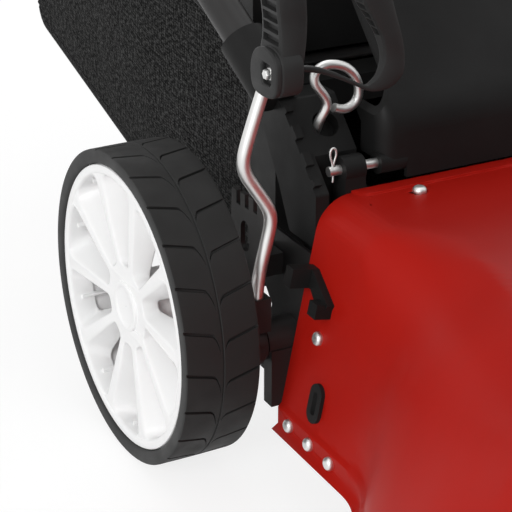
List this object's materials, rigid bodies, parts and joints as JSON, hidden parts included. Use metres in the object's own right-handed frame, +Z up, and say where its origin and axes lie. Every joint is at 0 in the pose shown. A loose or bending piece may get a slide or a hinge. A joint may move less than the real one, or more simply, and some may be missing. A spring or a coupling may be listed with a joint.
{
  "type": "push lawn mower",
  "caption": "Petrol push lawn mower with a pressed steel deck, spoked wheels, height lever, rear flap, cloth grass bag and a folding tube handle with a brake bail.",
  "frame": {"origin": "centre of the whole mower on the ground", "axes": "+X the way the mower is pushed, +Y to its left, +Z up"},
  "size_m": [1.5708, 0.47, 0.9947],
  "materials": {
    "red_paint": "gloss",
    "black_paint": "satin",
    "black_plastic": "satin",
    "engine_plastic": "gloss",
    "bright_steel": "bright",
    "cast_alloy": "cast",
    "tyre_rubber": "matte",
    "soft_rubber": "matte",
    "white_plastic": "gloss",
    "bag_cloth": "woven",
    "foam": "matte",
    "tank_plastic": "satin",
    "heat_steel": "matte",
    "blade_steel": "satin",
    "red_rubber": "matte"
  },
  "bodies": {
    "mower": {"deck_shell": "red_paint", "deck_bolts": "bright_steel", "deck_grommets": "soft_rubber", "rear_brackets": "black_paint", "height_sector": "black_paint", "cable_hook": "black_plastic", "chute": "black_plastic", "handle_shoulders": "black_plastic", "lower_handles": "black_paint", "rope_guide": "bright_steel", "hinge_lugs": "black_plastic", "hinge_rod": "bright_steel", "split_pins": "bright_steel", "front_bearings": "black_plastic", "engine_block": "cast_alloy", "cylinder": "cast_alloy", "spark_plug": "bright_steel", "plug_boot": "soft_rubber", "blower_housing": "engine_plastic", "recoil_cover": "engine_plastic", "fuel_tank": "tank_plastic", "muffler": "heat_steel", "muffler_guard": "bright_steel", "carburettor": "cast_alloy", "air_filter_cover": "engine_plastic", "fold_washers": "bright_steel"},
    "rotor": {"crankshaft": "bright_steel", "flywheel": "cast_alloy", "blade": "blade_steel", "blade_bolt": "bright_steel"},
    "flap": {"rear_flap": "black_plastic"},
    "bag": {"bag_fabric": "bag_cloth", "bag_lid": "black_plastic", "bag_frame": "black_paint"},
    "rear_axle": {"rear_crank": "black_paint", "lever_rod": "bright_steel", "lever_grip": "black_plastic", "grip_bolt": "bright_steel"},
    "front_axle": {"front_crank": "black_paint"},
    "link": {"height_link": "bright_steel"},
    "wheel_rear_right": {"tyre_rear_right": "tyre_rubber", "rim_rear_right": "white_plastic", "hub_cap_rear_right": "white_plastic"},
    "wheel_rear_left": {"tyre_rear_left": "tyre_rubber", "rim_rear_left": "white_plastic", "hub_cap_rear_left": "white_plastic"},
    "wheel_front_right": {"tyre_front_right": "tyre_rubber", "rim_front_right": "white_plastic"},
    "wheel_front_left": {"tyre_front_left": "tyre_rubber", "rim_front_left": "white_plastic"},
    "handle": {"upper_handle": "black_paint", "foam_grip": "foam", "bail_pins": "black_plastic"},
    "bail": {"brake_bail": "black_paint"},
    "knob_right": {"clamp_knob_right": "black_plastic"},
    "knob_left": {"clamp_knob_left": "black_plastic"},
    "tank_cap": {"fuel_cap": "black_plastic"},
    "dipstick": {"oil_cap": "black_plastic"},
    "primer": {"primer_bulb": "red_rubber"},
    "starter": {"starter_grip": "black_plastic"}
  },
  "joints": [
    {"name": "blade_spin", "type": "hinge", "parent": "mower", "child": "rotor", "pos_m": [0.50238, 0, 0.06], "axis": [0, 0, 1], "continuous": true},
    {"name": "flap_lift", "type": "hinge", "parent": "mower", "child": "flap", "pos_m": [0.25438, 0, 0.195], "axis": [0, 1, 0], "range_deg": [0, 50]},
    {"name": "bag_lift_off", "type": "slide", "parent": "mower", "child": "bag", "axis": [-0.7071, 0, 0.7071], "range_m": [0, 0.45]},
    {"name": "height_lever", "type": "hinge", "parent": "mower", "child": "rear_axle", "pos_m": [0.24838, 0, 0.091], "axis": [0, 1, 0], "range_deg": [-4, 22]},
    {"name": "front_axle_turn", "type": "hinge", "parent": "mower", "child": "front_axle", "pos_m": [0.74838, 0, 0.071], "axis": [0, 1, 0], "range_deg": [-5.5, 22.5]},
    {"name": "link_swing", "type": "hinge", "parent": "rear_axle", "child": "link", "pos_m": [0.24838, 0.16, 0.221], "axis": [0, 1, 0], "range_deg": [-22.5, 5.5]},
    {"name": "roll_rear_right", "type": "hinge", "parent": "rear_axle", "child": "wheel_rear_right", "pos_m": [0.18538, -0.205, 0.1], "axis": [0, 1, 0], "continuous": true},
    {"name": "roll_rear_left", "type": "hinge", "parent": "rear_axle", "child": "wheel_rear_left", "pos_m": [0.18538, 0.205, 0.1], "axis": [0, 1, 0], "continuous": true},
    {"name": "roll_front_right", "type": "hinge", "parent": "front_axle", "child": "wheel_front_right", "pos_m": [0.68538, -0.214, 0.08], "axis": [0, 1, 0], "continuous": true},
    {"name": "roll_front_left", "type": "hinge", "parent": "front_axle", "child": "wheel_front_left", "pos_m": [0.68538, 0.214, 0.08], "axis": [0, 1, 0], "continuous": true},
    {"name": "handle_fold", "type": "hinge", "parent": "mower", "child": "handle", "pos_m": [-0.16262, 0, 0.50927], "axis": [0, 1, 0], "range_deg": [0, 130]},
    {"name": "brake_bail_press", "type": "hinge", "parent": "handle", "child": "bail", "pos_m": [-0.68444, 0, 0.88839], "axis": [0, 1, 0], "range_deg": [-26, 0], "stiffness_Nm_per_rad": 0.8, "springref_deg": 22.92},
    {"name": "knob_turn_right", "type": "hinge", "parent": "mower", "child": "knob_right", "pos_m": [-0.16262, -0.22, 0.50927], "axis": [0, 1, 0], "continuous": true},
    {"name": "knob_turn_left", "type": "hinge", "parent": "mower", "child": "knob_left", "pos_m": [-0.16262, 0.22, 0.50927], "axis": [0, 1, 0], "continuous": true},
    {"name": "fuel_cap_turn", "type": "hinge", "parent": "mower", "child": "tank_cap", "pos_m": [0.47238, 0.117, 0.28], "axis": [0, 0, 1], "continuous": true},
    {"name": "oil_cap_turn", "type": "hinge", "parent": "mower", "child": "dipstick", "pos_m": [0.44238, -0.09, 0.262], "axis": [0, 0, 1], "continuous": true},
    {"name": "primer_press", "type": "slide", "parent": "mower", "child": "primer", "axis": [0, -1, 0], "range_m": [0, 0.0025], "stiffness_N_per_m": 600, "springref_m": -0.001},
    {"name": "starter_pull", "type": "slide", "parent": "mower", "child": "starter", "axis": [-1, 0, 0], "range_m": [0, 0.025], "stiffness_N_per_m": 60, "springref_m": -0.05}
  ],
  "couplings": [
    {"joint": "front_axle_turn", "follows": "height_lever", "ratio": 1},
    {"joint": "link_swing", "follows": "height_lever", "ratio": -1}
  ]
}
